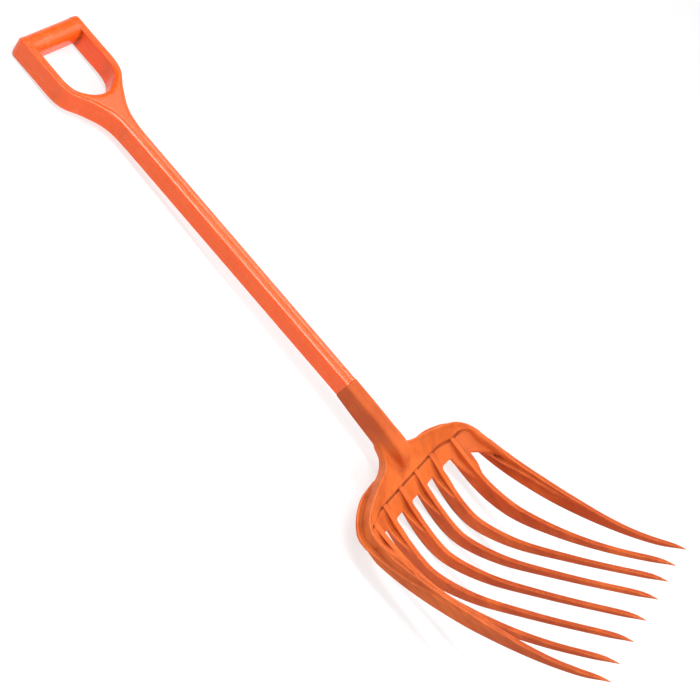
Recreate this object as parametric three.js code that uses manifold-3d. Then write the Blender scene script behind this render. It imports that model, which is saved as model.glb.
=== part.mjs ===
// Digging fork moulded in orange polypropylene: a D-grip handle plugged into a scoop-shaped head of
// eight tines. Millimetres, +Z up. The fork lies on its back: the hollow of the scoop faces up and the
// tines point to -Y. Every piece is drawn in the tool's own frame: x across, y = 0 at the end of the grip
// and negative towards the tips, z = 0 on the shaft axis, front face up. layDown() then tips the whole
// tool onto the ground.
import * as THREE from "three";
import { mergeVertices } from "three/addons/utils/BufferGeometryUtils.js";
import Module from "manifold-3d";

// ---- whole tool ----
const GAP = 0.3; // clearance left between neighbouring pieces
const TILT = THREE.MathUtils.degToRad(-3.054); // slope of the shaft with grip and tines on the ground

// ---- D-grip ----
const GRIP = {
  halfWidth: 62,
  halfDepth: 18,
  openHalfWidth: 49.5,
  barLength: 34,
  armEnd: -100,
  openEnd: -138,
  neckEnd: -205,
  corner: 12,
};

// ---- shaft and socket ----
const SHAFT = { halfWidth: 12.5, halfDepth: 18, corner: 6, wall: 3.2, end: -729 };
const SPIGOT = { halfWidth: 10, halfDepth: 15.5, corner: 4, wall: 2.6, end: -790 };
const SOCKET = {
  halfWidth: 13.6,
  halfDepth: 19,
  corner: 7,
  boreEnd: -792,
  noseStart: -845,
  noseEnd: -888,
};

// ---- crown ----
const CROWN = {
  end: -940,
  halfWidth: 165,
  skin: 4.5,
  wall: 5,
  stepY: -903,
  recess: 8,
  webHalf: 4,
};

// ---- tines ----
// rootX and tipX: distance from the centre line. back: [y, z] points of the back edge from root to tip.
// depth: height of the blade above the back edge, and the fractions of its length between which it thins.
const INNER_BACK = [
  [-940, -59],
  [-975, -68],
  [-1010, -71.5],
  [-1045, -64],
  [-1100, -25.5],
  [-1170, 57],
  [-1268.5, 184],
];
const THIRD_BACK = [
  [-940, -47],
  [-1000, -47.5],
  [-1040, -40.5],
  [-1080, -23],
  [-1140, 25],
  [-1200, 88],
  [-1271, 176],
];
const OUTER_BACK = [
  [-940, -26],
  [-1000, -9.5],
  [-1080, 25.5],
  [-1140, 61],
  [-1200, 106],
  [-1240, 143],
  [-1270, 178],
];
const TINES = [
  {
    rootX: 25,
    tipX: 25,
    back: INNER_BACK,
    depth: { root: 25.5, tip: 8, thinFrom: 0.15, thinTo: 0.65 },
  },
  {
    rootX: 75,
    tipX: 72,
    back: INNER_BACK,
    depth: { root: 25.5, tip: 8, thinFrom: 0.15, thinTo: 0.65 },
  },
  {
    rootX: 125,
    tipX: 116.5,
    back: THIRD_BACK,
    depth: { root: 29.5, tip: 8, thinFrom: 0.22, thinTo: 0.75 },
  },
  {
    rootX: 160.5,
    tipX: 157,
    back: OUTER_BACK,
    depth: { root: 32, tip: 7.5, thinFrom: 0.3, thinTo: 0.86 },
  },
];
const TINE_STATIONS = 20;
const TINE_HALF_WIDTH = { root: 4.3, tip: 3.4, point: 1 };
const POINT_FROM = 0.945; // where the last taper to the point starts, as a fraction of the tine's length

const wasm = await Module();
wasm.setup();

function toSolid(geometry) {
  const bare = geometry.index ? geometry.toNonIndexed() : geometry.clone();
  bare.deleteAttribute("normal");
  bare.deleteAttribute("uv");
  const merged = mergeVertices(bare, 1e-3);
  const mesh = new wasm.Mesh({
    numProp: 3,
    vertProperties: merged.attributes.position.array,
    triVerts: new Uint32Array(merged.index.array),
  });
  return new wasm.Manifold(mesh);
}

function toGeometry(solid) {
  const mesh = solid.getMesh();
  const geometry = new THREE.BufferGeometry();
  geometry.setAttribute("position", new THREE.BufferAttribute(mesh.vertProperties, 3));
  geometry.setIndex(new THREE.BufferAttribute(mesh.triVerts, 1));
  return geometry;
}

function fuse(...geometries) {
  return toGeometry(geometries.map(toSolid).reduce((a, b) => a.add(b)));
}

function cut(geometry, ...tools) {
  return toGeometry(tools.map(toSolid).reduce((a, b) => a.subtract(b), toSolid(geometry)));
}

const lerp = THREE.MathUtils.lerp;
const smooth = THREE.MathUtils.smoothstep;

// A rounded rectangle as [across, up] points, counter-clockwise, centred on the origin.
function roundedRing(halfWidth, halfHeight, radius, perCorner = 3) {
  const r = Math.min(radius, halfWidth * 0.98, halfHeight * 0.98);
  const points = [];
  for (let corner = 0; corner < 4; corner++) {
    const cx = (corner === 0 || corner === 3 ? 1 : -1) * (halfWidth - r);
    const cy = (corner < 2 ? 1 : -1) * (halfHeight - r);
    for (let i = 0; i <= perCorner; i++) {
      const angle = ((corner + i / perCorner) * Math.PI) / 2;
      points.push([cx + r * Math.cos(angle), cy + r * Math.sin(angle)]);
    }
  }
  return points;
}

// A closed body through rings of equal point count, each turning right-handed about the way travelled.
function loft(rings) {
  const size = rings[0].length;
  const positions = rings.flat().flatMap((v) => v.toArray());
  const index = [];
  for (let i = 0; i + 1 < rings.length; i++) {
    for (let j = 0; j < size; j++) {
      const a = i * size + j;
      const b = i * size + ((j + 1) % size);
      index.push(a, b, b + size, a, b + size, a + size);
    }
  }
  const last = (rings.length - 1) * size;
  for (let j = 1; j + 1 < size; j++) {
    index.push(0, j + 1, j);
    index.push(last, last + j, last + j + 1);
  }
  const geometry = new THREE.BufferGeometry();
  geometry.setAttribute("position", new THREE.Float32BufferAttribute(positions, 3));
  geometry.setIndex(index);
  return geometry;
}

// A ring in the plane y = constant, travelling towards -Y.
function ringAt(y, halfWidth, halfHeight, radius, centreZ = 0) {
  const ring = roundedRing(halfWidth, halfHeight, radius);
  return ring.map(([u, v]) => new THREE.Vector3(u, y, centreZ + v));
}

function straightBar(from, to, halfWidth, halfHeight, radius) {
  return loft([ringAt(from, halfWidth, halfHeight, radius), ringAt(to, halfWidth, halfHeight, radius)]);
}

// ---- D-grip pieces ----

// Half of the outline, from the end of the bar round the shoulder and down to the neck.
function halfOutline(side) {
  const w = GRIP.halfWidth * side;
  const path = new THREE.Path();
  path.moveTo(w - GRIP.corner * side, 0);
  path.quadraticCurveTo(w, 0, w, -GRIP.corner);
  path.lineTo(w, -96);
  path.bezierCurveTo(w, -120, 50 * side, -131, 40 * side, -140);
  path.bezierCurveTo(28 * side, -152, SHAFT.halfWidth * side, -172, SHAFT.halfWidth * side, GRIP.neckEnd);
  return path.getPoints(8);
}

function gripOutline() {
  return new THREE.Shape([...halfOutline(-1), ...halfOutline(1).reverse()]);
}

function gripOpening() {
  const w = GRIP.openHalfWidth;
  const hole = new THREE.Path();
  hole.moveTo(-w, -GRIP.barLength);
  hole.lineTo(w, -GRIP.barLength);
  hole.lineTo(w, -98);
  hole.bezierCurveTo(w, -116, 30, -137, 0, GRIP.openEnd);
  hole.bezierCurveTo(-30, -137, -w, -116, -w, -98);
  return hole;
}

function gripFrame() {
  const outline = gripOutline();
  outline.holes.push(gripOpening());
  const depth = 2 * GRIP.halfDepth;
  const plate = new THREE.ExtrudeGeometry(outline, { depth, curveSegments: 8, bevelEnabled: false });
  return plate.translate(0, 0, -GRIP.halfDepth);
}

function slab(width, fromY, toY) {
  const box = new THREE.BoxGeometry(width, fromY - toY, 4 * GRIP.halfDepth);
  return box.translate(0, (fromY + toY) / 2, 0);
}

function gripArm(side) {
  const keep = slab(GRIP.halfWidth, 10, GRIP.armEnd).translate(side * (GRIP.openHalfWidth + 31), 0, 0);
  return toGeometry(toSolid(gripFrame()).intersect(toSolid(keep)));
}

function gripYoke() {
  return cut(gripFrame(), slab(3 * GRIP.halfWidth, 10, GRIP.armEnd - GAP));
}

function gripBar() {
  const half = GRIP.openHalfWidth - GAP;
  const ring = roundedRing(GRIP.barLength / 2, GRIP.halfDepth - 0.5, 13, 5);
  const across = (x) => ring.map(([u, v]) => new THREE.Vector3(x, u - GRIP.barLength / 2, v));
  return loft([across(-half), across(half)]);
}

// ---- shaft and socket ----

function shaft() {
  const top = GRIP.neckEnd - GAP;
  const s = SHAFT;
  const p = SPIGOT;
  const body = fuse(
    straightBar(top, s.end, s.halfWidth, s.halfDepth, s.corner),
    straightBar(s.end + 5, p.end, p.halfWidth, p.halfDepth, p.corner),
  );
  const hollow = (from, to, { halfWidth, halfDepth, wall, corner }) =>
    straightBar(from, to, halfWidth - wall, halfDepth - wall, corner - 2);
  return cut(body, hollow(top + 5, s.end + 3, s), hollow(s.end + 10, p.end - 5, p));
}

function socket() {
  const s = SOCKET;
  const rings = [
    ringAt(SHAFT.end - GAP, s.halfWidth, s.halfDepth, s.corner),
    ringAt(s.noseStart, s.halfWidth, s.halfDepth, s.corner),
    ringAt(lerp(s.noseStart, s.noseEnd, 0.45), s.halfWidth - 1, s.halfDepth - 2, s.corner, -2),
    ringAt(lerp(s.noseStart, s.noseEnd, 0.75), s.halfWidth - 3, s.halfDepth - 6, s.corner, -6),
    ringAt(lerp(s.noseStart, s.noseEnd, 0.92), s.halfWidth - 6, s.halfDepth - 12, s.corner, -12),
    ringAt(s.noseEnd, s.halfWidth - 10, s.halfDepth - 16.5, 2, -16.5),
  ];
  const slip = 0.4;
  const bore = straightBar(
    SHAFT.end + 5,
    s.boreEnd,
    SPIGOT.halfWidth + slip,
    SPIGOT.halfDepth + slip,
    SPIGOT.corner,
  );
  return cut(loft(rings), bore);
}

// ---- crown: one skin drawn as a front and a back surface over the same plan grid ----

// Plan outline: y of the top edge at distance a from the centre line.
function rimY(a) {
  const wing = -851 - 0.3 * Math.max(a, 41);
  const neck = a < 41 ? 13.5 * (1 + Math.cos((Math.PI * a) / 41)) : 0;
  const shoulder = a > 125 ? 34 * (1 - Math.sqrt(Math.max(0, 1 - ((a - 125) / 40) ** 2))) : 0;
  return wing + neck - shoulder;
}

// The dish of the scoop at rib level: it leans back towards the tines and rises towards both sides.
function dishZ(a, y) {
  const down = CROWN.stepY - y;
  const side = 17 * (Math.max(0, a - 75) / 50) ** 1.7;
  return -25 - 0.29 * down + side * (0.6 + 0.011 * down);
}

// Front surface before the panels are sunk: the dish, lifted into a lip along the top edge.
function frontZ(a, y) {
  const lipWidth = 34;
  const inward = Math.max(0, rimY(a) - y);
  const atRim = dishZ(a, rimY(a));
  const lift = Math.max(0, -atRim) * Math.max(0, 1 - inward / lipWidth) ** 2;
  const z = dishZ(a, y) + lift;
  const underSocket = -SOCKET.halfDepth - 2 * GAP;
  return a < SOCKET.halfWidth + GAP ? Math.min(z, underSocket) : z;
}

// Depth of the sunk panels between the ribs.
function recess(a, y) {
  const onRib = TINES.some((tine) => Math.abs(a - tine.rootX) < CROWN.webHalf + 0.1);
  const stepY = CROWN.stepY - 10 * smooth(a, 90, 135);
  const step = smooth(stepY - y, 0, 4);
  return onRib || a > CROWN.halfWidth - 1 ? 0 : step * lerp(3, CROWN.recess, smooth(stepY - y, 0, 37));
}

function backZ(a, y) {
  const s = rimY(a) - y;
  const span = rimY(a) - CROWN.end;
  const wallZ = lerp(-32, -22, smooth(a, 110, 160));
  const wall = s < Math.min(CROWN.wall, 0.3 * span) + 0.01 || a > CROWN.halfWidth - CROWN.wall;
  const skin = frontZ(a, y) - recess(a, y) - CROWN.skin;
  const tine = TINES.find((t) => Math.abs(a - t.rootX) < CROWN.webHalf + 0.1);
  const web = tine ? lerp(wallZ, tine.back[0][1] + 1, Math.min(1, s / span)) : skin;
  return Math.min(skin, web, wall ? wallZ : skin);
}

// Distances from the centre line at which the grid has a column: both sides of every rib, and between.
function crownColumns() {
  const edge = 0.6;
  const half = CROWN.webHalf;
  const sides = [-half - edge, -half, half, half + edge];
  const ribs = TINES.slice(0, 3).flatMap(({ rootX }) => sides.map((offset) => rootX + offset));
  const centre = [0, SOCKET.halfWidth + GAP / 2, SOCKET.halfWidth + GAP + edge, 17];
  const between = [37, 45, 57, 62, 90, 100, 110, 138, 146, 152];
  const wall = CROWN.halfWidth - CROWN.wall;
  const rim = [wall - edge, wall + 0.05, CROWN.halfWidth - 2.4, CROWN.halfWidth];
  return [...centre, ...ribs, ...between, ...rim].sort((a, b) => a - b);
}

function crown() {
  const right = crownColumns();
  const xs = [...right.slice(1).reverse().map((x) => -x), ...right];
  const fractions = [0, 0.14, 0.28, 0.4, 0.5, 0.6, 0.7, 0.85, 1];
  const front = [];
  const back = [];
  for (const x of xs) {
    const a = Math.abs(x);
    const top = rimY(a);
    const span = top - CROWN.end;
    const wall = Math.min(CROWN.wall, 0.3 * span);
    const start = wall + Math.min(0.6, 0.1 * span);
    const depths = [0, wall, ...fractions.map((f) => lerp(start, span, f))];
    for (const s of depths) {
      front.push(new THREE.Vector3(x, top - s, frontZ(a, top - s) - recess(a, top - s)));
      back.push(new THREE.Vector3(x, top - s, backZ(a, top - s)));
    }
  }
  const rows = fractions.length + 2;
  const columns = xs.length;
  const offset = front.length;
  const index = [];
  const quad = (a, b, c, d) => index.push(a, b, c, a, c, d);
  for (let i = 0; i + 1 < columns; i++) {
    for (let j = 0; j + 1 < rows; j++) {
      const a = i * rows + j;
      quad(a, a + 1, a + 1 + rows, a + rows);
      quad(offset + a, offset + a + rows, offset + a + 1 + rows, offset + a + 1);
    }
    const top = i * rows;
    const bottom = top + rows - 1;
    quad(top, top + rows, offset + top + rows, offset + top);
    quad(bottom, offset + bottom, offset + bottom + rows, bottom + rows);
  }
  for (let j = 0; j + 1 < rows; j++) {
    const end = (columns - 1) * rows + j;
    quad(j, offset + j, offset + j + 1, j + 1);
    quad(end, end + 1, offset + end + 1, offset + end);
  }
  const geometry = new THREE.BufferGeometry();
  const positions = [...front, ...back].flatMap((v) => v.toArray());
  geometry.setAttribute("position", new THREE.Float32BufferAttribute(positions, 3));
  geometry.setIndex(index);
  return geometry;
}

// ---- tines ----

function tineDepth({ root, tip, thinFrom, thinTo }, f) {
  const depth = lerp(root, tip, smooth(f, thinFrom, thinTo)) - 1.2 * f;
  const point = smooth(f, POINT_FROM, 1);
  return lerp(depth, 1.2, point);
}

function tineHalfWidth(f) {
  const w = TINE_HALF_WIDTH;
  return lerp(lerp(w.root, w.tip, f), w.point, smooth(f, POINT_FROM, 1) ** 2);
}

function tineSpine(tine) {
  const curve = new THREE.CatmullRomCurve3(
    tine.back.map(([y, z]) => new THREE.Vector3(0, y, z)),
    false,
    "centripetal",
  );
  curve.arcLengthDivisions = 400;
  return curve;
}

// A band running along the tine: each ring spans low to high above the back edge and left to right of
// the middle.
function tineBand(tine, side, fractions, section) {
  const spine = tineSpine(tine);
  const rings = fractions.map((f) => {
    const at = spine.getPointAt(f);
    const along = spine.getTangentAt(f);
    const facing = f === 0 ? new THREE.Vector3(0, 0, 1) : new THREE.Vector3(0, along.z, -along.y);
    const { left, right, low, high, radius } = section(f);
    const x = side * lerp(tine.rootX, tine.tipX, f) + (side * (right - left)) / 2;
    const y = f === 0 ? CROWN.end - GAP : at.y;
    const start = new THREE.Vector3(x, y, at.z).addScaledVector(facing, (low + high) / 2);
    return roundedRing((left + right) / 2, (high - low) / 2, radius, 2).map(([u, v]) =>
      start.clone().addScaledVector(facing, v).add(new THREE.Vector3(u, 0, 0)),
    );
  });
  return loft(rings);
}

function tine(tineShape, side) {
  const outer = tineShape === TINES[3];
  const even = Array.from({ length: TINE_STATIONS }, (_, i) => (i / (TINE_STATIONS - 1)) * POINT_FROM);
  const web = tineBand(tineShape, side, [...even, 0.965, 0.985, 1], (f) => {
    const half = tineHalfWidth(f);
    const high = tineDepth(tineShape.depth, f);
    return { left: half, right: half, low: 0, high, radius: Math.min(2.5, 0.45 * high) };
  });
  const reach = outer ? 0.5 : 0.19;
  const flange = tineBand(tineShape, side, [0, 0.25, 0.5, 0.75, 1].map((t) => t * reach), (f) => {
    const fade = (1 - f / reach) ** 1.6;
    const half = tineHalfWidth(f) - 1;
    const top = tineDepth(tineShape.depth, f) - (outer ? 13 : CROWN.recess);
    return {
      left: half + (outer ? 6 : 10.5) * fade,
      right: half + (outer ? 2.5 : 10.5) * fade,
      low: top - CROWN.skin,
      high: top,
      radius: 0.6,
    };
  });
  return fuse(web, flange);
}

// ---- materials ----

function gloss() {
  return new THREE.MeshStandardMaterial({ color: 0xf0652f, roughness: 0.36, metalness: 0 });
}

function satin() {
  return new THREE.MeshStandardMaterial({ color: 0xdc5a2e, roughness: 0.5, metalness: 0 });
}

// ---- assembly ----

function layDown(root) {
  const tip = new THREE.Matrix4().makeRotationX(TILT);
  root.traverse((mesh) => mesh.isMesh && mesh.geometry.applyMatrix4(tip));
  const box = new THREE.Box3().setFromObject(root);
  const centre = box.getCenter(new THREE.Vector3());
  const shift = new THREE.Matrix4().makeTranslation(0, -centre.y, -box.min.z);
  root.traverse((mesh) => mesh.isMesh && mesh.geometry.applyMatrix4(shift));
}

function add(root, name, geometry, material) {
  geometry.computeVertexNormals();
  const mesh = new THREE.Mesh(geometry, material);
  mesh.name = name;
  root.add(mesh);
}

function fork() {
  const root = new THREE.Group();
  root.name = "digging_fork";
  add(root, "grip_bar", gripBar(), gloss());
  add(root, "grip_arm_left", gripArm(-1), gloss());
  add(root, "grip_arm_right", gripArm(1), gloss());
  add(root, "grip_yoke", gripYoke(), gloss());
  add(root, "shaft", shaft(), gloss());
  add(root, "socket", socket(), satin());
  add(root, "crown", crown(), satin());
  TINES.forEach((shape, i) => {
    add(root, `tine_left_${i + 1}`, tine(shape, -1), satin());
    add(root, `tine_right_${i + 1}`, tine(shape, 1), satin());
  });
  layDown(root);
  return root;
}

export default fork();
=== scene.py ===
"""Looks of a digging fork moulded in orange polypropylene, for Blender 4.5.

The fork is two mouldings: a handle (D-grip and shaft) and a head (socket, crown and eight tines). Each is
drawn as one distance field, meshed, and then cut into the pieces that the fixed frame names, so that
neighbouring pieces meet without a seam. Fields are in the tool's own frame, in millimetres: x across,
y = 0 at the end of the grip and negative towards the tips, z = 0 on the shaft axis, front face up.
"""

import math

import bmesh
import bpy
import numpy as np
from mathutils import Matrix, Vector


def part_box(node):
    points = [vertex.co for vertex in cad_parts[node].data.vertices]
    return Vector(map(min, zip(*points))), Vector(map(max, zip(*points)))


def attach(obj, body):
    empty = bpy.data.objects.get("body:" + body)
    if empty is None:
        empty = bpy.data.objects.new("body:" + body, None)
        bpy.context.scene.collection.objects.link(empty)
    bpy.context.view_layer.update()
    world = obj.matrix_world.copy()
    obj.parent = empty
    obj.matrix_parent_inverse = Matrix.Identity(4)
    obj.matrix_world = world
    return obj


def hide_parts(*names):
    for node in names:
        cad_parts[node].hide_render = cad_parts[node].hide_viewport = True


MM = 0.001
TILT = math.radians(-3.054)  # slope of the tool in the frame, with grip and tines on the ground
CELL = 1.0  # grid pitch of the fields
FAR = 50.0  # field value where nothing is near

# ---- handle ----
GRIP_HALF_WIDTH = 64.5
GRIP_HALF_DEPTH = 20.4
GRIP_LIFT = 2.8  # the grip sits a little towards the front of the shaft
GRIP_OPEN_HALF_WIDTH = 50.6
BAR_LENGTH = 34.0  # along the tool
BAR_INSET = 0.6  # how far the bar's faces lie below the arms'
BAR_RADIUS = 14.0
BAR_MARGIN = 3.0  # the space between the arms is cleared this far past the bar
BAR_OVERLAP = 4.0  # how far the bar runs into the arms
BAR_FILLET = 0.8
ARM_EDGE = 1.6
SHAFT_HALF_WIDTH = 12.9
SHAFT_HALF_DEPTH = 19.0
SHAFT_LIFT = 0.5
SHAFT_EDGE = 2.4
SHAFT_BEVEL = 6.8  # width of the slanted faces along the shaft, seen from the front
ARM_BEVEL = 4.2
BEVEL_SLANT = math.radians(28)
BEVEL_EDGE = 1.2
SHAFT_HOLLOW = 0.8  # depth of the moulded hollow along the front face
SHAFT_HOLLOW_HALF_WIDTH = 5.8
SHAFT_END = -736.0
SPIGOT_STEP = 1.6  # how much thinner the shaft is inside the socket
BORE_ROOM = 0.35
OPENING_TOP = -28.0  # the opening's outline starts inside the bar
ARM_END = -100.0
NECK_END = -205.0
# Stretches of y, from the shaft to the grip, over which one thing turns into the other.
GRIP_BLEND = (-230, -140)
EDGE_BLEND = (-175, -120)
BEVEL_BLEND = (-195, -115)
HOLLOW_FADE = (-205, -250)
# Half of the grip's outline from the shoulder to the neck, and of its hand opening, as (x, y).
GRIP_OUTLINE = [
    (64.5, -60), (64.4, -97), (62, -110), (57.5, -120), (49.6, -130), (41.6, -139),
    (31.4, -154), (22.9, -168), (17.0, -183), (14.1, -200), (12.9, -225),
]
GRIP_OPENING = [
    (50.6, -60), (50.6, -94), (48.9, -105), (45.6, -114), (39.5, -121.5), (30.5, -128.5),
    (20.5, -134), (9.5, -137.5), (0, -138.5),
]
SHOULDER_RADIUS = 12.0  # of the grip's far corners
SHOULDER_STEPS = 8

# ---- head ----
SOCKET_MOUTH = -729.5
SOCKET_MOUTH_SECTION = (13.7, -18.9, 20.0)  # half width, back z and front z at the mouth
SOCKET_ROOT_SECTION = (14.5, -25.8, 15.8)  # the same where it meets the crown
SOCKET_ROOT = -820.0
SOCKET_EDGE = 6.0
SOCKET_MOUTH_EDGE = 0.7
SOCKET_FILLET = 9.0  # between the socket and the crown
NOSE_Z = -20.0
NOSE_START = -845.0
NOSE_LENGTH = 43.0
CROWN_START = -833.0
CROWN_END = -1012.0
SKIN = 4.5  # thickness of the crown's skin
SKIN_EDGE = 1.2
WALL = 5.0  # thickness of the crown's outer wall
WALL_EDGE = 2.2
WALL_END = -935.0
WALL_BOTTOM = (-29, -24)  # z in the middle and at the shoulder
WALL_BOTTOM_BLEND = (120, 163)
WALL_FILLET = 3.0  # between the wall and the skin
STEP_Y = -903.0  # the line across the crown below which the panels are sunk
STEP_DROP = 7.0  # how much lower it lies at its outer ends
STEP_DROP_BLEND = (90, 128)
RECESS = 8.0  # depth of the panels between the ribs
PANEL_START_DEPTH = 4.2  # depth of the panels at the step, growing to RECESS
PANEL_GROWTH = 37.0  # over this far
CREASE = 3.2  # extra depth of the panels right under the step
CREASE_FADE = (2.4, 7.0)
PANEL_SLOPE = 2.2  # run of the slanted wall round a panel
PANEL_EDGE_X = 156.3  # outer end of the row of panels
PANEL_CORNER = 20.0
DISH_Z = -25.0  # height of the dish at the step
DISH_SLOPE = 0.29
DISH_BEND = 42.0  # the slope eases this far below the step
DISH_EASE = 0.1
DISH_SIDE_X = 75.0  # outside this the dish curls up
DISH_SIDE_WIDTH = 50.0
DISH_SIDE_RISE = 17.0
DISH_SIDE_CURL = 1.7
DISH_SIDE_GROWTH = (0.6, 0.011)  # share of the rise at the step, and how much more per mm below it
DISH_REACH = (-60, 70)  # from above the step to below it
LIP_WIDTHS = (34, 13)  # in the middle and at the shoulder
LIP_BLEND = (118, 150)
LIP_SAG = 15.0  # the lip sinks under the socket
LIP_SAG_BLEND = (10, 60)
SLOT_Y = -937.0  # where the slots between the tines begin
SLOT_CORNER = 5.0
OUTER_SLOT_DROP = 14.0  # the outermost slots begin lower
OUTER_SLOT_BLEND = (127, 138)
OUTER_SLOT_SLANT = 4 / 3
OUTER_SLOT_X = 139.0
OUTER_SLOT_REACH = 15.6
STRIP_START = -940.0
STRIP_HALF_WIDTH = 14.0  # of the flanges along the tines, at the slots' ends
STRIP_END_HALF_WIDTH = 2.5
OUTER_STRIP_X = 163.0
OUTER_STRIP_HALF_WIDTH = 11.5
OUTER_STRIP_FADE = (-1020, -945)
SHOULDER_REACH = 8.0  # how far the rib at the shoulder stands out
SHOULDER_GROWTH = (50, 110)
SHOULDER_FADE = (-968, -905)
SHOULDER_START_X = 60.0
SHOULDER_END = -972.0
SHOULDER_DROP = (4.0, 8.0)  # the rib's middle below the outer tine's flange, and how much more near x = 0
SHOULDER_DROP_BLEND = (90, 158)
SHOULDER_ROOT = 3.0  # how deep the rib starts inside the wall
# Half of the crown's outline from the socket round the shoulder to the outer tine, as (x, y).
CROWN_OUTLINE = [
    (12, CROWN_START), (16, -841), (25, -853), (41, -863), (76, -872.5), (113, -884), (133, -892),
    (146, -900.5), (157, -912.5), (163, -927), (165, -946), (164.6, -985),
]
# Height of the crown's lip, as (y, z).
LIP = [
    (-800, 0), (-872, 0.3), (-884, 1), (-892, 2), (-901, 1.8), (-915, 2.2), (-940, 6.6),
    (-960, 11.4), (-1000, 23.3), (-1030, 33),
]

# ---- tines, from the middle outwards ----
# back: (y, z) of the back edge; depth: (y, height of the blade above the back edge, square to it).
INNER_BACK = [
    (-858, -30), (-900, -49), (-940, -60.5), (-975, -68.2), (-1010, -71.2), (-1046, -64.5),
    (-1101, -27), (-1172, 55.5), (-1270, 184.5),
]
SECOND_BACK = [
    (-858, -30), (-900, -49), (-940, -60.5), (-975, -68.2), (-1010, -71.5), (-1047, -65.2),
    (-1103, -28), (-1174, 54), (-1271, 182),
]
THIRD_BACK = [
    (-878, -29), (-910, -41), (-940, -47.5), (-1000, -49), (-1041, -42), (-1082, -25),
    (-1142, 22.5), (-1203, 86), (-1272, 176),
]
OUTER_BACK = [
    (-906, -22), (-920, -25.5), (-940, -28), (-1002, -15), (-1083, 19.5), (-1143, 56),
    (-1203, 102.5), (-1242, 141), (-1272, 180),
]
INNER_DEPTH = [
    (-858, 11), (-885, 16.5), (-903, 23), (-940, 25.5), (-1000, 27.5), (-1060, 23), (-1100, 18.7),
    (-1140, 13.9), (-1180, 11.2), (-1220, 9.4), (-1250, 8.2), (-1262, 5.6), (-1270, 1.6),
]
SECOND_DEPTH = [
    (-858, 11), (-885, 16.5), (-903, 23), (-940, 25.5), (-1000, 27.5), (-1060, 24), (-1100, 19.4),
    (-1140, 14.7), (-1180, 11.5), (-1220, 9.5), (-1250, 8.4), (-1263, 5.6), (-1271, 1.6),
]
THIRD_DEPTH = [
    (-878, 18), (-913, 26.5), (-940, 30), (-1000, 31), (-1060, 29.2), (-1100, 25),
    (-1140, 19), (-1180, 13.9), (-1220, 10.4), (-1250, 8.6), (-1264, 5.6), (-1272, 1.6),
]
OUTER_DEPTH = [
    (-906, 21), (-920, 27.5), (-940, 33), (-1000, 36), (-1060, 35), (-1100, 32.2),
    (-1140, 26.6), (-1180, 18.8), (-1220, 12.4), (-1244, 9.6), (-1264, 5.6), (-1272, 1.6),
]
OUTER_FLANGE = [(-905, -19), (-918, -17), (-985, 2), (-1032, 25.7), (-1080, 47), (-1140, 81)]
TINES = [
    {"root": 25.0, "tip": 25.3, "bow": 1, "back": INNER_BACK, "depth": INNER_DEPTH, "groove": 0.0},
    {"root": 75.0, "tip": 72.4, "bow": 1, "back": SECOND_BACK, "depth": SECOND_DEPTH, "groove": 0.0},
    {"root": 125.0, "tip": 117.8, "bow": 1, "back": THIRD_BACK, "depth": THIRD_DEPTH, "groove": 0.0},
    {"root": 163.4, "tip": 158.6, "bow": 2, "back": OUTER_BACK, "depth": OUTER_DEPTH, "groove": 1.8},
]
TINE_ROOT_Y = -940.0
TINE_TIP_Y = -1268.5
TINE_HALF_WIDTHS = (4.8, 4.0, 1.3)  # at the root, before the point, and at the point
SHANK_TAPER = (-960, -1240)
POINT_TAPER = (-1242, -1271)
BLADE_EDGE = 1.5
BLADE_FILLET = 2.4  # between a blade and the crown
BACK_THINNING = 0.9  # the blade is this much thinner on each side at its back edge
BACK_REACH = 3.0
GROOVE_HALF_WIDTH = 3.4
GROOVE_FADE = (-1130, -1080)
GROOVE_START = 10.0  # above the back edge
FLANGE_HALF_THICKNESS = 2.2
FLANGE_EDGE = 0.8
FLANGE_FILLET = 2.0
FLANGE_REACH = (5.5, 3.0)  # inwards and outwards from the blade
FLANGE_START = -925.0
FLANGE_END = -1160.0
FLANGE_FADE = (-1150, -960)
RIB_EDGE = 1.6
RIB_HALF_THICKNESS = 2.8
RIB_FILLET = 3.0
BLADE_INSET = 1.5  # the blades stay this far inside the crown's outline
BLADE_RELEASE = (-925, -1000)  # and are let out of it here
BLADE_RELEASE_REACH = 9.0

# Parts of the grid that a field reaches, as ranges of x, y and z.
HANDLE_BOX = ((0, 70), (SHAFT_END - 8, 8), (-24, 30))
HEAD_BOX = ((0, 180), (-1284, -716), (-86, 200))
CROWN_BOX = ((-5, 175), (-1030, -815), (-85, 50))
SOCKET_BOX = ((-5, 45), (-900, -715), (-60, 40))
TINE_BOX = ((-24, 14), (-1290, -850), (-92, 205))  # x from the tine's root
FLANGE_BOX = ((135, 184), (-1170, -905), (-90, 205))
SHOULDER_BOX = ((55, 184), (-978, -850), (-50, 10))


# ---- numbers ----


def ramp(low, high, value):
    """0 at low, 1 at high, smooth between them."""
    t = np.clip((value - low) / (high - low), 0, 1)
    return t * t * (3 - 2 * t)


def mix(a, b, t):
    """a where t is 0, b where it is 1."""
    return a + (b - a) * t


def join(a, b, radius):
    """Union of two fields with a fillet."""
    h = np.maximum(radius - np.abs(a - b), 0) / radius
    return np.minimum(a, b) - h * h * radius * 0.25


def common(a, b, radius):
    """Intersection of two fields with a rounded edge."""
    p = a + radius
    q = b + radius
    return np.hypot(np.maximum(p, 0), np.maximum(q, 0)) + np.minimum(np.maximum(p, q), 0) - radius


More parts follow.
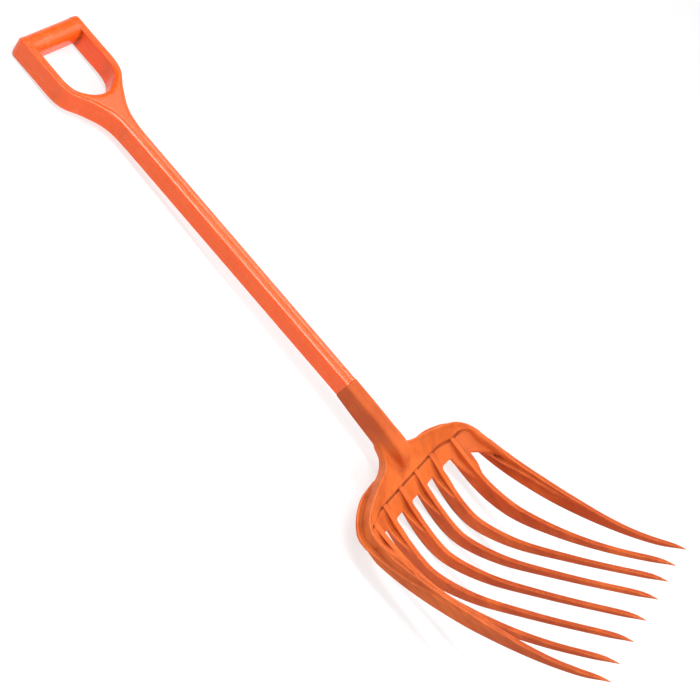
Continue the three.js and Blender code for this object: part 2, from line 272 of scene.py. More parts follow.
def curve(points, per_span=12):
    """Smooth curve through the points, as an (n, 2) array."""
    p = np.array([points[0], *points, points[-1]], float)
    p[0] = 2 * p[1] - p[2]
    p[-1] = 2 * p[-2] - p[-3]
    knots = np.concatenate([[0], np.cumsum(np.linalg.norm(np.diff(p, axis=0), axis=1) ** 0.5)])
    spans = []
    for i in range(1, len(p) - 2):
        t0, t1, t2, t3 = knots[i - 1 : i + 3]
        t = np.linspace(t1, t2, per_span, endpoint=False)[:, None]
        a1 = mix(p[i - 1], p[i], (t - t0) / (t1 - t0))
        a2 = mix(p[i], p[i + 1], (t - t1) / (t2 - t1))
        a3 = mix(p[i + 1], p[i + 2], (t - t2) / (t3 - t2))
        b1 = mix(a1, a2, (t - t0) / (t2 - t0))
        b2 = mix(a2, a3, (t - t1) / (t3 - t1))
        spans.append(mix(b1, b2, (t - t1) / (t2 - t1)))
    return np.concatenate([*spans, p[-2:-1]])


def along(points, y):
    """Value of the curve through (y, value) points at each y."""
    c = curve(points)
    return np.interp(y, c[::-1, 0], c[::-1, 1])


def line_distance(u, v, line):
    """Distance from (u, v) to an open line, positive on the left of its direction."""
    best = np.full(np.broadcast(u, v).shape, np.inf)
    side = np.ones_like(best)
    for (u0, v0), (u1, v1) in zip(line[:-1], line[1:]):
        eu, ev = u1 - u0, v1 - v0
        wu, wv = u - u0, v - v0
        t = np.clip((wu * eu + wv * ev) / (eu * eu + ev * ev), 0, 1)
        square = (wu - eu * t) ** 2 + (wv - ev * t) ** 2
        nearer = square < best
        best = np.where(nearer, square, best)
        side = np.where(nearer, np.where(eu * wv - ev * wu > 0, 1.0, -1.0), side)
    return np.sqrt(best) * side


def polygon_distance(u, v, corners):
    """Signed distance from (u, v) to a closed polygon, negative inside."""
    best = np.full(np.broadcast(u, v).shape, np.inf)
    inside = np.zeros(best.shape, bool)
    for (u0, v0), (u1, v1) in zip(corners, np.roll(corners, -1, axis=0)):
        eu, ev = u1 - u0, v1 - v0
        if eu * eu + ev * ev < 1e-9:
            continue
        wu, wv = u - u0, v - v0
        t = np.clip((wu * eu + wv * ev) / (eu * eu + ev * ev), 0, 1)
        best = np.minimum(best, (wu - eu * t) ** 2 + (wv - ev * t) ** 2)
        if ev != 0:
            crosses = ((v0 <= v) & (v1 > v)) | ((v1 <= v) & (v0 > v))
            inside ^= crosses & (u < u0 + eu * (v - v0) / ev)
    return np.sqrt(best) * np.where(inside, -1, 1)


# ---- handle field ----


def grip_plan(x, y):
    """Plan distance of the D-grip frame and the shaft, with x the distance from the middle."""
    inset = GRIP_HALF_WIDTH - SHOULDER_RADIUS
    outer = [(0, 0), (inset, 0)]
    for i in range(1, SHOULDER_STEPS + 1):
        turn = math.radians(90 * i / SHOULDER_STEPS)
        outer.append((inset + SHOULDER_RADIUS * math.sin(turn), SHOULDER_RADIUS * (math.cos(turn) - 1)))
    outer += [tuple(p) for p in curve(GRIP_OUTLINE)]
    outer += [(SHAFT_HALF_WIDTH, SHAFT_END), (0, SHAFT_END)]
    mirrored = [(-px, py) for px, py in outer[::-1]]
    opening = [(0, OPENING_TOP), (GRIP_OPEN_HALF_WIDTH, OPENING_TOP)]
    opening += [tuple(p) for p in curve(GRIP_OPENING)]
    opening_mirrored = [(-px, py) for px, py in opening[::-1]]
    outside = polygon_distance(x, y, np.array(outer + mirrored))
    hole = polygon_distance(x, y, np.array(opening + opening_mirrored))
    return outside, hole


def bevelled(across, upright, width):
    """The slanted face between a side and a front, both given as distances."""
    return (across + width) * math.sin(BEVEL_SLANT) + upright * math.cos(BEVEL_SLANT)


def handle_field(x, y, z):
    """The D-grip, the shaft and the spigot at its end."""
    outside, hole = grip_plan(x, y)
    grip = ramp(*GRIP_BLEND, y)
    z = z - mix(SHAFT_LIFT, GRIP_LIFT, grip)
    depth = mix(SHAFT_HALF_DEPTH, GRIP_HALF_DEPTH, grip)
    edge = mix(SHAFT_EDGE, ARM_EDGE, ramp(*EDGE_BLEND, y))
    neck = SPIGOT_STEP * ramp(SOCKET_MOUTH, SOCKET_MOUTH - 1, y)
    hollow = SHAFT_HOLLOW * np.clip(1 - (x / SHAFT_HOLLOW_HALF_WIDTH) ** 2, 0, 1)
    hollow = hollow * ramp(*HOLLOW_FADE, y) * (z > 0)
    faces = np.abs(z) - depth + hollow
    plan = np.maximum(outside, -hole) + neck
    bevel = mix(SHAFT_BEVEL, ARM_BEVEL, ramp(*BEVEL_BLEND, y))
    slant = bevelled(plan, np.abs(z) - depth + neck, bevel)
    frame = common(common(plan, faces + neck, edge), slant, BEVEL_EDGE)
    frame = np.maximum(frame, common(y, faces, BAR_RADIUS))
    bar_zone = np.maximum(x - GRIP_OPEN_HALF_WIDTH, -BAR_LENGTH - BAR_MARGIN - y)
    frame = np.maximum(frame, -bar_zone)
    half_length = BAR_LENGTH / 2 - BAR_INSET / 2
    bar = common(np.abs(y + BAR_LENGTH / 2) - half_length, faces + BAR_INSET, BAR_RADIUS)
    bar = np.maximum(bar, x - GRIP_OPEN_HALF_WIDTH - BAR_OVERLAP)
    return join(frame, bar, BAR_FILLET)


# ---- head field ----


def tine_centre(tine, y):
    """Distance of a tine's middle from x = 0."""
    t = np.clip((TINE_ROOT_Y - y) / (TINE_ROOT_Y - TINE_TIP_Y), 0, 1)
    return mix(tine["root"], tine["tip"], t ** tine["bow"])


def tine_half_width(y):
    """Half the thickness of a blade, seen from the front."""
    root, end, point = TINE_HALF_WIDTHS
    shank = mix(root, end, ramp(*SHANK_TAPER, y))
    return mix(shank, point, ramp(*POINT_TAPER, y) ** 1.5)


def blade(tine, x, y, z):
    """A tine's blade, from its root under the crown to its point."""
    back = curve(tine["back"])
    direction = np.gradient(back, axis=0)
    direction /= np.linalg.norm(direction, axis=1)[:, None]
    facing = np.stack([direction[:, 1], -direction[:, 0]], axis=1)
    front = back + facing * along(tine["depth"], back[:, 0])[:, None]
    profile = polygon_distance(y, z, np.concatenate([back, front[::-1]]))
    from_back = np.abs(line_distance(y, z, back))
    half = tine_half_width(y) - BACK_THINNING * np.clip(1 - from_back / BACK_REACH, 0, 1)
    edge = np.minimum(BLADE_EDGE, 0.7 * tine_half_width(y))
    offset = np.abs(x - tine_centre(tine, y))
    groove = tine["groove"] * np.clip(1 - offset / GROOVE_HALF_WIDTH, 0, 1) * ramp(*GROOVE_FADE, y)
    profile = profile + groove * (from_back > GROOVE_START)
    return common(profile, offset - half, edge)


def outer_flange(x, y, z):
    """The rib along both sides of an outer tine, and on round the crown's shoulder."""
    tine = TINES[3]
    top = line_distance(y, z, curve(OUTER_FLANGE))
    plate = np.abs(top - FLANGE_HALF_THICKNESS) - FLANGE_HALF_THICKNESS
    offset = x - tine_centre(tine, y)
    reach = tine_half_width(y) + np.where(offset < 0, *FLANGE_REACH) * ramp(*FLANGE_FADE, y)
    slab = common(plate, np.abs(offset) - reach, FLANGE_EDGE)
    return np.maximum(slab, np.maximum(y - FLANGE_START, FLANGE_END - y))


def shoulder(x, y, z):
    """The outward rib at the back of the crown's wall."""
    drop, more = SHOULDER_DROP
    middle = along(OUTER_FLANGE, y) - drop - more * (1 - ramp(*SHOULDER_DROP_BLEND, x))
    reach = SHOULDER_REACH * ramp(*SHOULDER_GROWTH, x) * ramp(*SHOULDER_FADE, y)
    plan = polygon_distance(x, y, closed_outline())
    rib = common(np.abs(z - middle) - RIB_HALF_THICKNESS, plan - reach, RIB_EDGE)
    ends = np.maximum(SHOULDER_START_X - x, SHOULDER_END - y)
    return np.maximum(rib, np.maximum(-SHOULDER_ROOT - plan, ends))


def dish(x, y):
    """The hollow of the scoop at rib level."""
    above, below = DISH_REACH
    down = np.maximum(STEP_Y - y, above)
    lean = np.where(down < DISH_BEND, down, DISH_BEND + (down - DISH_BEND) * DISH_EASE)
    side = DISH_SIDE_RISE * (np.maximum(0, x - DISH_SIDE_X) / DISH_SIDE_WIDTH) ** DISH_SIDE_CURL
    share, more = DISH_SIDE_GROWTH
    return DISH_Z - DISH_SLOPE * lean + side * (share + more * np.minimum(down, below))


def crown_front(x, y, inward):
    """Front surface of the crown: dish, lip along the outline, and panels sunk between the ribs."""
    lip_width = mix(*LIP_WIDTHS, ramp(*LIP_BLEND, x))
    lip_z = -LIP_SAG * (1 - ramp(*LIP_SAG_BLEND, x)) + along(LIP, y)
    weight = np.clip(1 - inward / lip_width, 0, 1) ** 2
    surface = mix(dish(x, y), lip_z, weight)
    step_line = STEP_Y - STEP_DROP * ramp(*STEP_DROP_BLEND, x)
    sunk = common(x - PANEL_EDGE_X, y - step_line, PANEL_CORNER)
    below = step_line - y
    depth = mix(PANEL_START_DEPTH, RECESS, ramp(0, PANEL_GROWTH, below))
    depth = depth + CREASE * (1 - ramp(*CREASE_FADE, below))
    return surface - depth * ramp(0, PANEL_SLOPE, -sunk)


def strips(x, y):
    """Plan distance of the flanges that run on along the tines below the slots' ends."""
    width = mix(STRIP_END_HALF_WIDTH, STRIP_HALF_WIDTH, ramp(CROWN_END, STRIP_START, y) ** 0.8)
    near = [np.abs(x - tine_centre(t, y)) - width for t in TINES[:3]]
    outer_width = mix(STRIP_END_HALF_WIDTH, OUTER_STRIP_HALF_WIDTH, ramp(*OUTER_STRIP_FADE, y))
    outer = np.abs(x - OUTER_STRIP_X) - outer_width
    return np.minimum(np.minimum(near[0], near[1]), np.minimum(near[2], outer))


def slope(surface, step):
    """Length of the gradient that turns a height above the surface into a distance."""
    gx, gy = np.gradient(surface, step, axis=(0, 1))
    return np.sqrt(1 + gx * gx + gy * gy)


def closed_outline():
    """The crown's plan outline as a closed polygon, run on below the slots."""
    half = np.concatenate([[(0, CROWN_START)], curve(CROWN_OUTLINE), [(166, -1040), (0, -1040)]])
    return np.concatenate([half, (half * [-1, 1])[::-1]])


def crown_field(x, y, z):
    """The crown's skin and its wall. x and y are the axes of a plan grid."""
    plan = polygon_distance(x, y, closed_outline())
    rim = np.abs(line_distance(x, y, curve(CROWN_OUTLINE)))
    front_z = crown_front(x, y, rim)
    slots_end = SLOT_Y - OUTER_SLOT_DROP * ramp(*OUTER_SLOT_BLEND, x)
    slots_end = slots_end - OUTER_SLOT_SLANT * np.clip(x - OUTER_SLOT_X, 0, OUTER_SLOT_REACH)
    slotted = join(slots_end - y, strips(x, y), SLOT_CORNER)
    skin_plan = np.maximum(plan, slotted)
    top = (z - front_z) / slope(front_z[..., 0], CELL)[..., None]
    under = -top - SKIN
    skin = common(common(top, skin_plan, SKIN_EDGE), under, SKIN_EDGE)
    wall_bottom = mix(*WALL_BOTTOM, ramp(*WALL_BOTTOM_BLEND, x))
    ring = np.maximum(plan, rim - WALL)
    wall = common(common(top, ring, WALL_EDGE), wall_bottom - z, 1.0)
    wall = np.maximum(wall, WALL_END - y)
    return join(skin, wall, WALL_FILLET)


def socket_field(x, y, z):
    """The socket with the shaft's bore, and its rounded nose on the crown."""
    t = np.clip((SOCKET_MOUTH - y) / (SOCKET_MOUTH - SOCKET_ROOT), 0, 1.3)
    (half_0, back_0, front_0), (half_1, back_1, front_1) = SOCKET_MOUTH_SECTION, SOCKET_ROOT_SECTION
    e = np.clip((NOSE_START - y) / NOSE_LENGTH, 0, 0.999)
    c = np.sqrt(1 - e * e)
    half = mix(half_0, half_1, t) * c**0.7
    low = mix(back_0, back_1, 0.75 * t + 0.25 * t * t)
    high = mix(NOSE_Z, mix(front_0, front_1, t**0.6), c)
    edge = np.minimum(mix(SHAFT_EDGE, SOCKET_EDGE, np.minimum(t, 1)), 0.7 * half)
    upright = np.abs(z - (low + high) / 2) - (high - low) / 2
    section = common(x - half, upright, 1e-3 + edge)
    section = common(section, bevelled(x - half, upright, mix(SHAFT_BEVEL, 0, t)), BEVEL_EDGE)
    body = section / np.sqrt(1 + np.minimum(e / c, 1.6) ** 2)
    across = x - SHAFT_HALF_WIDTH + SPIGOT_STEP - BORE_ROOM
    deep = np.abs(z - SHAFT_LIFT) - SHAFT_HALF_DEPTH + SPIGOT_STEP - BORE_ROOM
    bore = np.maximum(common(across, deep, SHAFT_EDGE), bevelled(across, deep, SHAFT_BEVEL))
    bore = np.maximum(bore, SHAFT_END - 0.5 - y)
    tube = common(body, y - SOCKET_MOUTH, SOCKET_MOUTH_EDGE)
    return np.maximum(np.maximum(tube, -bore), NOSE_START - NOSE_LENGTH - y)


def head_values(xs, ys, zs):
    """The head's field on a grid."""
    values = np.full((len(xs), len(ys), len(zs)), FAR, np.float32)

    def window(x_range, y_range, z_range):
        picks = [
            slice(*np.searchsorted(axis, (low, high)))
            for axis, (low, high) in zip((xs, ys, zs), (x_range, y_range, z_range))
        ]
        x = np.abs(xs[picks[0]])[:, None, None]
        return tuple(picks), x, ys[picks[1]][None, :, None], zs[picks[2]][None, None, :]

    pick, x, y, z = window(*CROWN_BOX)
    values[pick] = crown_field(x, y, z)
    pick, x, y, z = window(*SOCKET_BOX)
    values[pick] = join(values[pick], socket_field(x, y, z), SOCKET_FILLET)
    outline = closed_outline()
    for tine in TINES:
        reach, y_range, z_range = TINE_BOX
        pick, x, y, z = window([tine["root"] + offset for offset in reach], y_range, z_range)
        inset = polygon_distance(x, y, outline) + BLADE_INSET
        inset = inset - BLADE_RELEASE_REACH * ramp(*BLADE_RELEASE, y)
        inset = np.where(y > CROWN_END, inset, -FAR)
        values[pick] = join(values[pick], np.maximum(blade(tine, x, y, z), inset), BLADE_FILLET)
    pick, x, y, z = window(*FLANGE_BOX)
    values[pick] = join(values[pick], outer_flange(x, y, z), FLANGE_FILLET)
    pick, x, y, z = window(*SHOULDER_BOX)
    values[pick] = join(values[pick], shoulder(x, y, z), RIB_FILLET)
    return values


def handle_values(xs, ys, zs):
    """The handle's field on a grid."""
    x = np.abs(xs)[:, None, None]
    return handle_field(x, ys[None, :, None], zs[None, None, :]).astype(np.float32)


# ---- meshing ----

CORNERS = [(i, j, k) for i in (0, 1) for j in (0, 1) for k in (0, 1)]


def net_points(values, cells):
    """Local coordinates of the surface in each cell, moved onto the field's zero."""
    corner = {c: values[tuple((cells + c).T)].astype(float) for c in CORNERS}
    total = np.zeros((len(cells), 3))
    hits = np.zeros(len(cells))
    for axis in range(3):
        for a in CORNERS:
            if a[axis]:
                continue
            b = tuple(c + (i == axis) for i, c in enumerate(a))
            crossing = (corner[a] < 0) != (corner[b] < 0)
            with np.errstate(divide="ignore", invalid="ignore"):
                t = np.where(crossing, corner[a] / (corner[a] - corner[b]), 0)
            point = np.tile(np.array(a, float), (len(cells), 1))
            point[:, axis] += t
            total += point * crossing[:, None]
            hits += crossing
    local = total / hits[:, None]
    for _ in range(2):
        value = np.zeros(len(cells))
        gradient = np.zeros((len(cells), 3))
        for c in CORNERS:
            w = np.where(np.array(c) == 1, local, 1 - local)
            value += corner[c] * w.prod(axis=1)
            for axis in range(3):
                others = [i for i in range(3) if i != axis]
                gradient[:, axis] += corner[c] * (1 if c[axis] else -1) * w[:, others].prod(axis=1)
        scale = value / np.maximum((gradient**2).sum(axis=1), 1e-6)
        local = np.clip(local - gradient * np.clip(scale, -1, 1)[:, None], 0, 1)
    return local


def surface_net(values):
    """Grid coordinates of the vertices, and the quads, of the field's zero surface."""
    inside = values < 0
    shape = tuple(n - 1 for n in values.shape)
    count = np.zeros(shape, np.uint8)
    for i, j, k in CORNERS:
        count += inside[i : i + shape[0], j : j + shape[1], k : k + shape[2]]
    active = (count > 0) & (count < 8)
    cells = np.argwhere(active)
    number = np.full(shape, -1, np.int32)
    number[active] = np.arange(len(cells), dtype=np.int32)
    quads = []
    for axis in range(3):
        low = [slice(1, -1)] * 3
        high = [slice(1, -1)] * 3
        low[axis] = slice(0, -1)
        high[axis] = slice(1, None)
        first = inside[tuple(low)]
        change = first != inside[tuple(high)]
        at = np.argwhere(change)
        outward = first[change]
        at += [0 if i == axis else 1 for i in range(3)]
        u, v = (axis + 1) % 3, (axis + 2) % 3
        ring = []
        for du, dv in ((1, 1), (0, 1), (0, 0), (1, 0)):
            cell = at.copy()
            cell[:, u] -= du
            cell[:, v] -= dv
            ring.append(number[tuple(cell.T)])
        quad = np.stack(ring, axis=1)
        quad[~outward] = quad[~outward, ::-1]
        quads.append(quad)
    return cells + net_points(values, cells), np.concatenate(quads)


def mirror(points, quads):
    """The whole body from its half with x >= 0, whose first layer of cells straddles x = 0."""
    middle = np.abs(points[:, 0]) < 0.5 * CELL
    points[middle, 0] = 0
    quads = quads[points[quads, 0].max(axis=1) > 0]
    twin = np.where(middle, np.arange(len(points)), -1)
    sides = np.flatnonzero(~middle)
    twin[sides] = len(points) + np.arange(len(sides))
    flipped = points[sides] * [-1, 1, 1]
    return np.concatenate([points, flipped]), np.concatenate([quads, twin[quads][:, ::-1]])


def mesh_field(field, box):
    """Points in the tool's frame, quads and sharpness of a field with x = 0 as its plane of symmetry."""
    x_range, y_range, z_range = box
    xs = np.arange(-0.5 * CELL, x_range[1], CELL)
    ys = np.arange(*y_range, CELL)
    zs = np.arange(*z_range, CELL)
    points, quads = surface_net(field(xs, ys, zs))
    points = points * CELL + [xs[0], ys[0], zs[0]]
    points, quads = mirror(points, quads)
    return points, quads, sharpness(points, quads)


def sharpness(points, quads):
    """How far each point stands out from its neighbours, in cells: positive on edges."""
    total = np.zeros_like(points)
    normal = np.zeros_like(points)
    count = np.zeros(len(points))
    facing = np.cross(points[quads[:, 2]] - points[quads[:, 0]], points[quads[:, 3]] - points[quads[:, 1]])
    for i in range(4):
        near = points[quads[:, (i + 1) % 4]] + points[quads[:, (i + 3) % 4]]
        for axis in range(3):
            total[:, axis] += np.bincount(quads[:, i], near[:, axis], len(points))
            normal[:, axis] += np.bincount(quads[:, i], facing[:, axis], len(points))
        count += np.bincount(quads[:, i], minlength=len(points)) * 2
    normal /= np.maximum(np.linalg.norm(normal, axis=1), 1e-9)[:, None]
    away = points - total / np.maximum(count, 1)[:, None]
    return (away * normal).sum(axis=1) / CELL


def to_frame():
    """From the tool's frame in millimetres to the row frame in metres, found from the grip bar's place."""
    low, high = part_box("grip_bar")
    turn = Matrix.Rotation(TILT, 4, "X")
    bar = Vector((0, -BAR_LENGTH / 2, 0)) * MM
    shift = (low + high) / 2 - turn @ bar
    return Matrix.Translation(shift) @ turn @ Matrix.Scale(MM, 4)


def cut_piece(name, points, quads, edges, planes):
    """The part of a moulding between planes, closed with flat ends. A plane is (axis, place, side kept)."""
    keep = np.ones(len(quads), bool)
    for axis, place, side in planes:
        reach = (points[quads, axis] * side).max(axis=1)
        keep &= reach > place * side
    used, quads = np.unique(quads[keep], return_inverse=True)
    mesh = bpy.data.meshes.new(name)
    mesh.from_pydata(points[used].tolist(), [], quads.reshape(-1, 4).tolist())
    mesh.attributes.new("edge", "FLOAT", "POINT").data.foreach_set("value", edges[used])
    bm = bmesh.new()
    bm.from_mesh(mesh)
    for face in bm.faces:
        face.smooth = True
    for axis, place, side in planes:
        normal = [0, 0, 0]
        normal[axis] = side
        origin = [0, 0, 0]
        origin[axis] = place
        cut = bmesh.ops.bisect_plane(
            bm,
            geom=[*bm.verts, *bm.edges, *bm.faces],
            dist=1e-4,
            plane_co=origin,
            plane_no=normal,
            clear_inner=True,
        )
        rim = [e for e in cut["geom_cut"] if isinstance(e, bmesh.types.BMEdge) and e.is_boundary]
        for edge in rim:
            edge.smooth = False
        caps = bmesh.ops.holes_fill(bm, edges=rim, sides=0)["faces"]
        for face in caps:
            face.smooth = False
    bmesh.ops.recalc_face_normals(bm, faces=bm.faces)
    bm.to_mesh(mesh)
    bm.free()
    return mesh


def add_piece(node, points, quads, edges, planes, material, slot_name, place):
    """One finished piece, in the place of the node of that name."""
    mesh = cut_piece("moulded_" + node, points, quads, edges, planes)
    mesh.transform(place)
    mesh.materials.append(material)
    piece = bpy.data.objects.new("moulded_" + node, mesh)
    bpy.context.scene.collection.objects.link(piece)
    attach(piece, "root")
    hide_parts(node)


def build_handle(place, material):
    """The handle's five pieces."""
    body = mesh_field(handle_values, HANDLE_BOX)
    half = GRIP_OPEN_HALF_WIDTH
    above = (1, ARM_END, 1)
    cuts = {
        "grip_bar": [above, (0, half, -1), (0, -half, 1)],
        "grip_arm_left": [above, (0, -half, -1)],
        "grip_arm_right": [above, (0, half, 1)],
        "grip_yoke": [(1, ARM_END, -1), (1, NECK_END, 1)],
        "shaft": [(1, NECK_END, -1)],
    }
    for node, planes in cuts.items():
        add_piece(node, *body, planes, material, "handle", place)


def build_head(place, material):
    """The socket, the crown and the tines. Tines are split halfway between their roots."""
    body = mesh_field(head_values, HEAD_BOX)
    add_piece("socket", *body, [(1, SOCKET_ROOT, 1)], material, "head", place)
    add_piece("crown", *body, [(1, SOCKET_ROOT, -1), (1, CROWN_END, 1)], material, "head", place)
    edges = [(a["root"] + b["root"]) / 2 for a, b in zip(TINES[:-1], TINES[1:])]
    edges = [0, *edges, HEAD_BOX[0][1]]
    for i, (near, far) in enumerate(zip(edges[:-1], edges[1:])):
        for name, side in (("left", -1), ("right", 1)):
            planes = [(1, CROWN_END, -1), (0, near * side, side), (0, far * side, -side)]
            add_piece(f"tine_{name}_{i + 1}", *body, planes, material, "head", place)


# ---- materials ----

# colour and deep are the two ends of the tone, which carries random cloudy tone and painted shade along the
# tool; glow is how much light goes through under the surface.
GLOSS = {
    "colour": (0.95, 0.128, 0.009), "deep": (0.92, 0.112, 0.007), "roughness": 0.24, "shine": 0.43,
    "grain_mm": 1.6, "grain_depth_mm": 0.02, "glow": 0.5,
}
SATIN = {
    "colour": (0.78, 0.160, 0.029), "deep": (0.51, 0.080, 0.015), "roughness": 0.54, "shine": 0.2,
    "grain_mm": 0.7, "grain_depth_mm": 0.03, "glow": 0.12,
}
# Painted shade along the tool, as stretches of y in metres over which the tone changes: the tines are
# painted darker from the crown towards their points, and the socket darker than the crown.
TINE_PAINTED_SHADE = (-0.52, -0.30, 0.1, 0.85)
SOCKET_PAINTED_SHADE = (-0.24, -0.16, 0, -0.7)
CLOUD_MM = 60
FLOW_MM = 14
WAVE_MM = 22
SPECK_MM = 2.2
FLOW_STRETCH = 0.12  # noise scale along the tool against the one across it
WAVE_DEPTH = 0.00012
NOISE_RANGE = (0.3, 0.7)  # where most of a noise's values lie
CLOUD_TONE = 0.35
FLOW_TONE = 0.3
FLOW_ROUGHNESS = 0.05
SPECK_ROUGHNESS = 0.04
# Painted highlight on sharp edges: their colour is the base colour times this gain plus this lift.
EDGE_HIGHLIGHT_GAIN = 1.3
EDGE_HIGHLIGHT_LIFT = 0.05
POLYPROPYLENE_IOR = 1.49
SCATTER = (1.0, 0.3, 0.1)  # reach of red, green and blue light under the surface
SCATTER_REACH = 0.008
EDGE_HIGHLIGHT_RANGE = (0.04, 0.20, 0, 0.7)  # painted highlight: sharpness of an edge to how much lighter it is painted
CREASE_SHADE_REACH = 0.009
PAINTED_CREASE_SHADE = (0.45, 0.95, 0.42, 1.0)  # painted shade: openness of a corner to how much of the colour is left, so creases and corners are painted darker


def plastic(name, colour, deep, roughness, shine, grain_mm, grain_depth_mm, glow):
    """Moulded polypropylene: cloudy colour, flow lines along the tool, painted highlights on sharp edges,
    painted shade in creases and along the tines and socket, and surface grain.
    """
    material = bpy.data.materials.new(name)
    material.use_nodes = True
    tree = material.node_tree
    nodes, links = tree.nodes, tree.links
    shader = nodes["Principled BSDF"]

    def node(kind, **values):
        made = nodes.new(kind)
        for key, value in values.items():
            if hasattr(made, key):
                setattr(made, key, value)
            else:
                made.inputs[key.replace("_", " ")].default_value = value
        return made

    def remap(source, low, high, to_low, to_high):
        made = nodes.new("ShaderNodeMapRange")
        made.inputs["From Min"].default_value = low
        made.inputs["From Max"].default_value = high
        made.inputs["To Min"].default_value = to_low
        made.inputs["To Max"].default_value = to_high
        links.new(source, made.inputs["Value"])
        return made.outputs["Result"]

    def swing(source, amount):
        return remap(source, *NOISE_RANGE, -amount, amount)

    def math_node(operation, a, b):
        made = nodes.new("ShaderNodeMath")
        made.operation = operation
        for socket, value in zip(made.inputs, (a, b)):
            if isinstance(value, bpy.types.NodeSocket):
                links.new(value, socket)
            else:
                socket.default_value = value
        return made.outputs[0]

    place = nodes.new("ShaderNodeTexCoord").outputs["Object"]
    stretched = nodes.new("ShaderNodeMapping")
    stretched.inputs["Scale"].default_value = (1, FLOW_STRETCH, 1)
    links.new(place, stretched.inputs["Vector"])

    def noise(scale_mm, detail, vector):
        made = node("ShaderNodeTexNoise", Scale=1000 / scale_mm, Detail=detail)
        links.new(vector, made.inputs["Vector"])
        return made.outputs["Fac"]

    cloud = noise(CLOUD_MM, 3, place)
    flow = noise(FLOW_MM, 4, stretched.outputs["Vector"])
    speck = noise(SPECK_MM, 2, place)
    grain = noise(grain_mm, 3, place)

    tone_and_shade = math_node("ADD", swing(cloud, CLOUD_TONE), swing(flow, FLOW_TONE))
    along_tool = nodes.new("ShaderNodeSeparateXYZ")
    links.new(place, along_tool.inputs[0])
    # Painted shade: darker towards the tines' points and on the socket.
    tone_and_shade = math_node("ADD", tone_and_shade, remap(along_tool.outputs["Y"], *TINE_PAINTED_SHADE))
    tone_and_shade = math_node("ADD", tone_and_shade, remap(along_tool.outputs["Y"], *SOCKET_PAINTED_SHADE))
    blend = nodes.new("ShaderNodeMix")
    blend.data_type = "RGBA"
    blend.inputs["A"].default_value = (*deep, 1)
    blend.inputs["B"].default_value = (*colour, 1)
    links.new(tone_and_shade, blend.inputs["Factor"])

    # Painted highlight: sharp edges and ridges are painted lighter.
    stand_out = node("ShaderNodeAttribute", attribute_name="edge")
    edge = remap(stand_out.outputs["Fac"], *EDGE_HIGHLIGHT_RANGE)
    painted_edge_highlight = nodes.new("ShaderNodeMix")
    painted_edge_highlight.data_type = "RGBA"
    painted_edge_highlight.inputs["B"].default_value = (*[min(1, c * EDGE_HIGHLIGHT_GAIN + EDGE_HIGHLIGHT_LIFT) for c in colour], 1)
    links.new(blend.outputs["Result"], painted_edge_highlight.inputs["A"])
    links.new(edge, painted_edge_highlight.inputs["Factor"])
    # Painted shade: creases, corners and the feet of steps are painted darker.
    crease_openness = node("ShaderNodeAmbientOcclusion", samples=6, Distance=CREASE_SHADE_REACH)
    shade = remap(crease_openness.outputs["AO"], *PAINTED_CREASE_SHADE)
    darkened = nodes.new("ShaderNodeMix")
    darkened.data_type = "RGBA"
    darkened.blend_type = "MULTIPLY"
    darkened.inputs["Factor"].default_value = 1.0
    links.new(painted_edge_highlight.outputs["Result"], darkened.inputs["A"])
    links.new(shade, darkened.inputs["B"])
    links.new(darkened.outputs["Result"], shader.inputs["Base Color"])

    rough = math_node("ADD", swing(flow, FLOW_ROUGHNESS), swing(speck, SPECK_ROUGHNESS))
    links.new(math_node("ADD", rough, roughness), shader.inputs["Roughness"])

    waves = node("ShaderNodeBump", Strength=1.0, Distance=WAVE_DEPTH)
    links.new(noise(WAVE_MM, 2, stretched.outputs["Vector"]), waves.inputs["Height"])
    peel = node("ShaderNodeBump", Strength=1.0, Distance=grain_depth_mm * MM)
    links.new(grain, peel.inputs["Height"])
    links.new(waves.outputs["Normal"], peel.inputs["Normal"])
    links.new(peel.outputs["Normal"], shader.inputs["Normal"])

    shader.inputs["IOR"].default_value = POLYPROPYLENE_IOR
    shader.inputs["Specular IOR Level"].default_value = shine
    shader.inputs["Subsurface Weight"].default_value = glow
    shader.inputs["Subsurface Radius"].default_value = SCATTER
    shader.inputs["Subsurface Scale"].default_value = SCATTER_REACH
    return material


# ---- studio ----

FLOOR_HALF = 20.0
FLOOR_SHADE = (0.3, 0.3, 0.3)
FLOOR_LIGHT = 0.72  # keeps the floor pale outside the lamps' reach


def build_floor():
    """A wide pale floor under the fork."""
    mesh = bpy.data.meshes.new("floor")
    corners = [(x * FLOOR_HALF, y * FLOOR_HALF, 0) for x, y in ((-1, -1), (1, -1), (1, 1), (-1, 1))]
    mesh.from_pydata(corners, [], [(0, 1, 2, 3)])
    floor = bpy.data.objects.new("floor", mesh)
    material = bpy.data.materials.new("studio_floor")
    material.use_nodes = True
    shader = material.node_tree.nodes["Principled BSDF"]
    shader.inputs["Base Color"].default_value = (*FLOOR_SHADE, 1)
    shader.inputs["Roughness"].default_value = 0.9
    shader.inputs["Emission Color"].default_value = (1, 1, 1, 1)
    shader.inputs["Emission Strength"].default_value = FLOOR_LIGHT
    floor.data.materials.append(material)
    bpy.context.scene.collection.objects.link(floor)


def add_light(name, place, target, size, power):
    """A rectangular soft box that faces the target."""
    data = bpy.data.lights.new(name, "AREA")
    data.shape = "RECTANGLE"
    data.size, data.size_y = size
    data.energy = power
    light = bpy.data.objects.new(name, data)
    light.location = place
    light.rotation_mode = "QUATERNION"
    light.rotation_quaternion = (Vector(target) - Vector(place)).to_track_quat("-Z", "Y")
    bpy.context.scene.collection.objects.link(light)


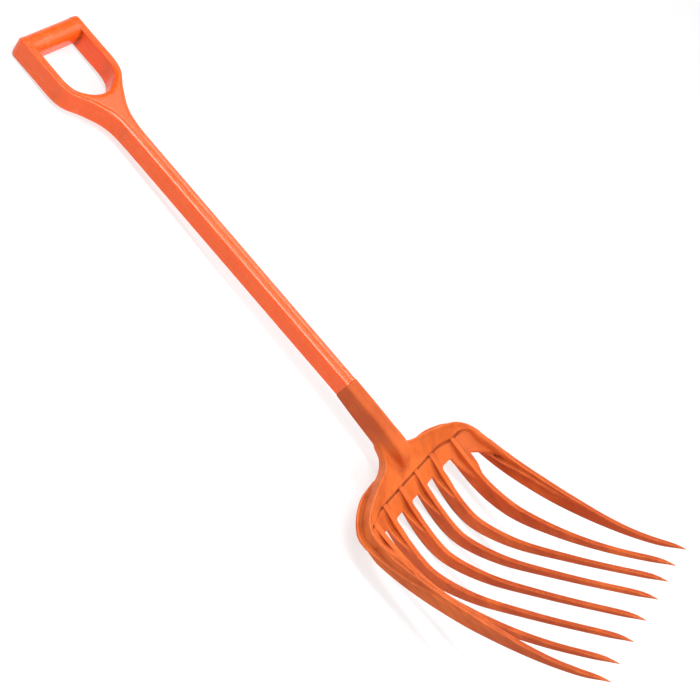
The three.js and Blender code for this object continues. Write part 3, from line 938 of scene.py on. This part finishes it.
# Soft boxes. The streaks are long ones that the slanted edges and the front face of the shaft mirror.
# name, place, target, size and power
LAMPS = [
    ("key", (-0.5, -1.25, 1.9), (0, -0.3, 0), (1.5, 1.5), 23),
    ("edge_streak", (-0.33, 0.6, 1.9), (0, 0.6, 0), (1.9, 0.22), 28),
    ("front_streak", (1.2, 0.5, 1.9), (0, 0.5, 0), (1.9, 0.24), 19),
    ("sheen", (1.8, 0, 1.75), (0, 0, 0), (2.6, 0.5), 9),
    ("side", (2.3, 0, 0.6), (0, 0, 0.2), (3.0, 0.8), 2),
]
HORIZON_HEIGHT = 0.04  # heights of a direction, 0 level and 1 straight up
SKY_HEIGHT = 0.5
HORIZON_LIGHT = 0.82
SKY_LIGHT = 0.12


def build_light():
    """A pale sky that is brightest at the horizon, and the soft boxes."""
    world = bpy.data.worlds.new("studio")
    world.use_nodes = True
    nodes, links = world.node_tree.nodes, world.node_tree.links
    direction = nodes.new("ShaderNodeTexCoord")
    height = nodes.new("ShaderNodeSeparateXYZ")
    fade = nodes.new("ShaderNodeMapRange")
    fade.inputs["From Min"].default_value = HORIZON_HEIGHT
    fade.inputs["From Max"].default_value = SKY_HEIGHT
    fade.inputs["To Min"].default_value = HORIZON_LIGHT
    fade.inputs["To Max"].default_value = SKY_LIGHT
    links.new(direction.outputs["Generated"], height.inputs[0])
    links.new(height.outputs["Z"], fade.inputs["Value"])
    links.new(fade.outputs["Result"], nodes["Background"].inputs["Strength"])
    nodes["Background"].inputs["Color"].default_value = (1, 1, 1, 1)
    bpy.context.scene.world = world
    bpy.context.scene.view_settings.view_transform = "Standard"
    for lamp in LAMPS:
        add_light(*lamp)


CAMERA_PLACE = (-1.3718, 0.0589, 1.4581)
CAMERA_AIM = (0.71315, -0.05907, -0.69851)
CAMERA_ROLL = math.radians(54.8795)
CAMERA_LENS = 64.29
CAMERA_SENSOR = 36


def build_camera():
    """The view from above the left side, with the tool running from the top left to the bottom right."""
    data = bpy.data.cameras.new("camera")
    data.lens = CAMERA_LENS
    data.sensor_width = CAMERA_SENSOR
    camera = bpy.data.objects.new("camera", data)
    camera.location = CAMERA_PLACE
    camera.rotation_mode = "QUATERNION"
    level = Vector(CAMERA_AIM).to_track_quat("-Z", "Y")
    camera.rotation_quaternion = level @ Matrix.Rotation(CAMERA_ROLL, 3, "Z").to_quaternion()
    bpy.context.scene.collection.objects.link(camera)
    bpy.context.scene.camera = camera


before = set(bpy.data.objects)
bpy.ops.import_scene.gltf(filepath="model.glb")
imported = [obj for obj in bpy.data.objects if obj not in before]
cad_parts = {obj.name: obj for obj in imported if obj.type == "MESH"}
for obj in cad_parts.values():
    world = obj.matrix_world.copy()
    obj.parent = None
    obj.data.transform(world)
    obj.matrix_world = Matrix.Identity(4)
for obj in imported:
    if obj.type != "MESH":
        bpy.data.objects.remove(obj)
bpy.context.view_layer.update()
build_camera()
to_row = to_frame()
build_handle(to_row, plastic("gloss_polypropylene", **GLOSS))
build_head(to_row, plastic("satin_polypropylene", **SATIN))
build_floor()
build_light()
